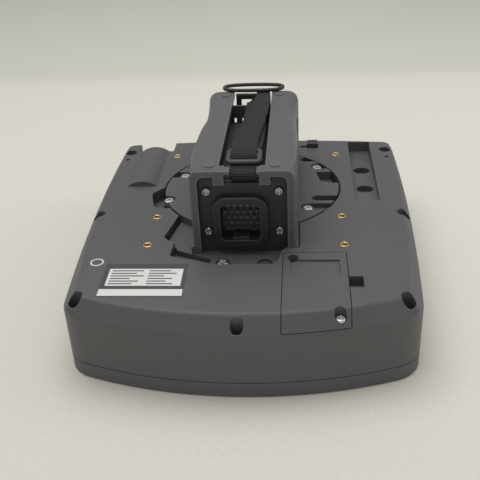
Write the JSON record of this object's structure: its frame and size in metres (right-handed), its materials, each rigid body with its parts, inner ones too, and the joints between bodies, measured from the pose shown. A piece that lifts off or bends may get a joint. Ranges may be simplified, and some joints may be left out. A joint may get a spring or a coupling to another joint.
{
  "type": "handheld operator terminal",
  "caption": "Handheld machine operator terminal lying on its front: curved two-part case, raised hand grip with strap, cable socket, enabling lever and stop button.",
  "frame": {"origin": "on the resting plane of the front rim, under the middle of the case", "axes": "+Z out of the rear face, +Y towards the top end with the hanger ring, +X to the side of the enabling lever"},
  "size_m": [0.201, 0.23, 0.1008],
  "materials": {
    "housing": "fine moulded texture",
    "grip_plastic": "fine moulded texture",
    "base_plastic": "fine moulded texture",
    "cover_plastic": "fine moulded texture",
    "dark_plastic": "fine moulded texture",
    "inner_plastic": "smooth",
    "key_rubber": "matt",
    "seal_rubber": "matt",
    "stop_red": "satin",
    "screw_steel": "zinc plated",
    "black_steel": "black finish",
    "insert_brass": "turned",
    "touch_glass": "clear",
    "display_black": "smooth",
    "lamp_lens": "clear",
    "board_green": "solder resist",
    "battery_skin": "sleeve",
    "webbing": "woven"
  },
  "bodies": {
    "case": {"rear_cover": "housing", "front_cover": "housing", "grip_shell": "grip_plastic", "grip_base": "base_plastic", "card_cover": "cover_plastic", "bracket_hooks": "dark_plastic", "strap_tray": "dark_plastic", "connector_panel": "dark_plastic", "connector_shell": "dark_plastic", "strap_loop": "dark_plastic", "strap_buckle": "dark_plastic", "key_switch": "dark_plastic", "connector_insert": "dark_plastic", "card_socket": "inner_plastic", "battery_holder": "inner_plastic", "enable_switch": "inner_plastic", "stop_switch": "inner_plastic", "case_seal": "seal_rubber", "case_screws": "screw_steel", "card_cover_screws": "screw_steel", "bracket_screws": "screw_steel", "board_screws": "screw_steel", "grip_base_screws": "screw_steel", "grip_shell_screws": "screw_steel", "connector_panel_screws": "screw_steel", "lever_pin": "screw_steel", "display_bracket": "screw_steel", "key_switch_nut": "screw_steel", "strap_anchor": "black_steel", "threaded_inserts": "insert_brass", "board_spacers": "insert_brass", "connector_pins": "insert_brass", "touch_panel": "touch_glass", "display_module": "display_black", "power_lamp": "lamp_lens", "main_board": "board_green", "key_board": "board_green", "backup_battery": "battery_skin", "hand_strap": "webbing"},
    "stop_stem": {"stop_stem": "inner_plastic"},
    "stop_button": {"stop_button": "stop_red"},
    "key_rotor": {"key_rotor": "screw_steel"},
    "enable_lever": {"enable_lever": "dark_plastic"},
    "enable_plunger": {"enable_plunger": "inner_plastic"},
    "hanger_ring": {"hanger_ring": "black_steel"},
    "op_key_1": {"op_key_1": "key_rubber"},
    "op_key_2": {"op_key_2": "key_rubber"},
    "op_key_3": {"op_key_3": "key_rubber"},
    "op_key_4": {"op_key_4": "key_rubber"},
    "op_key_5": {"op_key_5": "key_rubber"},
    "op_key_6": {"op_key_6": "key_rubber"}
  },
  "joints": [
    {"name": "stop_push", "type": "slide", "parent": "case", "child": "stop_stem", "axis": [0, 0, 1], "range_m": [0, 0.0045]},
    {"name": "stop_twist", "type": "hinge", "parent": "stop_stem", "child": "stop_button", "pos_m": [-0.0745, 0.076, 0.005], "axis": [0, 0, 1], "range_deg": [0, 40], "stiffness_Nm_per_rad": 0.05},
    {"name": "key_turn", "type": "hinge", "parent": "case", "child": "key_rotor", "pos_m": [0.0745, 0.08, 0], "axis": [0, 0, 1], "range_deg": [0, 90]},
    {"name": "enable_press", "type": "hinge", "parent": "case", "child": "enable_lever", "pos_m": [0.0275, 0.072, 0.073], "axis": [0, 0, -1], "range_deg": [0, 4.5], "stiffness_Nm_per_rad": 6},
    {"name": "plunger_press", "type": "slide", "parent": "case", "child": "enable_plunger", "axis": [-1, 0, 0], "range_m": [0, 0.0016]},
    {"name": "ring_swing", "type": "hinge", "parent": "case", "child": "hanger_ring", "pos_m": [0, 0.0845, 0.09835], "axis": [1, 0, 0], "range_deg": [0, 110]},
    {"name": "key_1_press", "type": "slide", "parent": "case", "child": "op_key_1", "axis": [0, 0, 1], "range_m": [0, 0.0012], "stiffness_N_per_m": 800},
    {"name": "key_2_press", "type": "slide", "parent": "case", "child": "op_key_2", "axis": [0, 0, 1], "range_m": [0, 0.0012], "stiffness_N_per_m": 800},
    {"name": "key_3_press", "type": "slide", "parent": "case", "child": "op_key_3", "axis": [0, 0, 1], "range_m": [0, 0.0012], "stiffness_N_per_m": 800},
    {"name": "key_4_press", "type": "slide", "parent": "case", "child": "op_key_4", "axis": [0, 0, 1], "range_m": [0, 0.0012], "stiffness_N_per_m": 800},
    {"name": "key_5_press", "type": "slide", "parent": "case", "child": "op_key_5", "axis": [0, 0, 1], "range_m": [0, 0.0012], "stiffness_N_per_m": 800},
    {"name": "key_6_press", "type": "slide", "parent": "case", "child": "op_key_6", "axis": [0, 0, 1], "range_m": [0, 0.0012], "stiffness_N_per_m": 800}
  ],
  "couplings": [
    {"joint": "plunger_press", "follows": "enable_press", "m_per_rad": 0.02}
  ]
}
